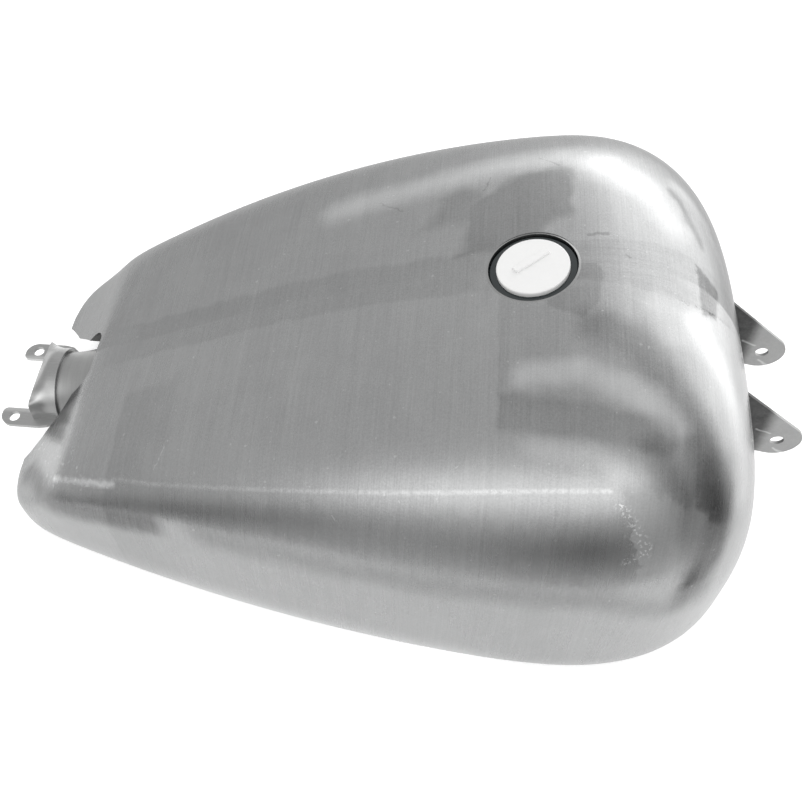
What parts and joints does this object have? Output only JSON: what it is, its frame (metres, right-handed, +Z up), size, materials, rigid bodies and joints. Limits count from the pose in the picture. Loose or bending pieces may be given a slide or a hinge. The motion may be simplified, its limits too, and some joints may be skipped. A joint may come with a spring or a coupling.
{
  "type": "fuel tank",
  "caption": "Teardrop motorcycle fuel tank with raised ridge, open spine tunnel, front bolt tabs, rear saddle bracket and flush screw cap with lift-up knob.",
  "frame": {"origin": "centre of the bounding box's bottom face, under the middle of the tank in the plane of its lower edge", "axes": "+X towards the steering head (front), +Y to the rider's left, +Z up"},
  "size_m": [0.62, 0.3938, 0.2308],
  "materials": {
    "sanded_steel": "raw sheet steel, sanded, with darker patches and weld marks",
    "sheet_steel": "raw cold-rolled sheet steel",
    "tab_steel": "raw pressed steel plate, lightly scratched",
    "bracket_steel": "raw pressed steel strap, ends ground bright",
    "neck_steel": "turned steel",
    "turned_steel": "turned steel",
    "stem_steel": "turned steel",
    "spring_steel": "spring wire",
    "cap_black": "black moulded plastic",
    "knob_white": "white moulded plastic, satin",
    "seal_rubber": "fuel-proof rubber",
    "slip_nylon": "natural nylon"
  },
  "bodies": {
    "root": {"shell_right": "sanded_steel", "shell_left": "sanded_steel", "tunnel": "sheet_steel", "bottom_pan_right": "sheet_steel", "bottom_pan_left": "sheet_steel", "rear_plate_right": "sheet_steel", "rear_plate_left": "sheet_steel", "front_tab_right": "tab_steel", "front_tab_left": "tab_steel", "rear_saddle": "sheet_steel", "rear_bracket": "bracket_steel", "filler_neck": "neck_steel", "fuel_valve_bung": "turned_steel", "crossover_nipple_right": "turned_steel", "crossover_nipple_left": "turned_steel", "vent_tube": "turned_steel", "baffle_right": "sheet_steel", "baffle_left": "sheet_steel"},
    "cap_seal": {"cap_gasket": "seal_rubber", "slip_washer": "slip_nylon"},
    "cap_shell": {"cap_body": "cap_black", "vent_cage": "cap_black", "vent_spring": "spring_steel", "knob_spring": "spring_steel"},
    "knob": {"cap_knob": "knob_white", "knob_stem": "stem_steel", "stem_clip": "spring_steel"},
    "vent_valve": {"vent_disc": "seal_rubber"}
  },
  "joints": [
    {"name": "cap_rise", "type": "slide", "parent": "root", "child": "cap_seal", "axis": [-0.2038, 0, 0.979], "range_m": [0, 0.0121]},
    {"name": "cap_turn", "type": "hinge", "parent": "cap_seal", "child": "cap_shell", "pos_m": [0.1009, 0, 0.22346], "axis": [-0.2038, 0, 0.979], "range_deg": [0, 1080]},
    {"name": "knob_pop", "type": "slide", "parent": "cap_shell", "child": "knob", "axis": [-0.2038, 0, 0.979], "range_m": [0, 0.0098], "deforming": ["knob_spring"]},
    {"name": "vent_lift", "type": "slide", "parent": "cap_shell", "child": "vent_valve", "axis": [0.2038, 0, -0.979], "range_m": [0, 0.0015], "stiffness_N_per_m": 200, "springref_m": -0.0005, "deforming": ["vent_spring"]}
  ],
  "couplings": [
    {"joint": "cap_rise", "follows": "cap_turn", "m_per_rad": 0.00063662}
  ]
}
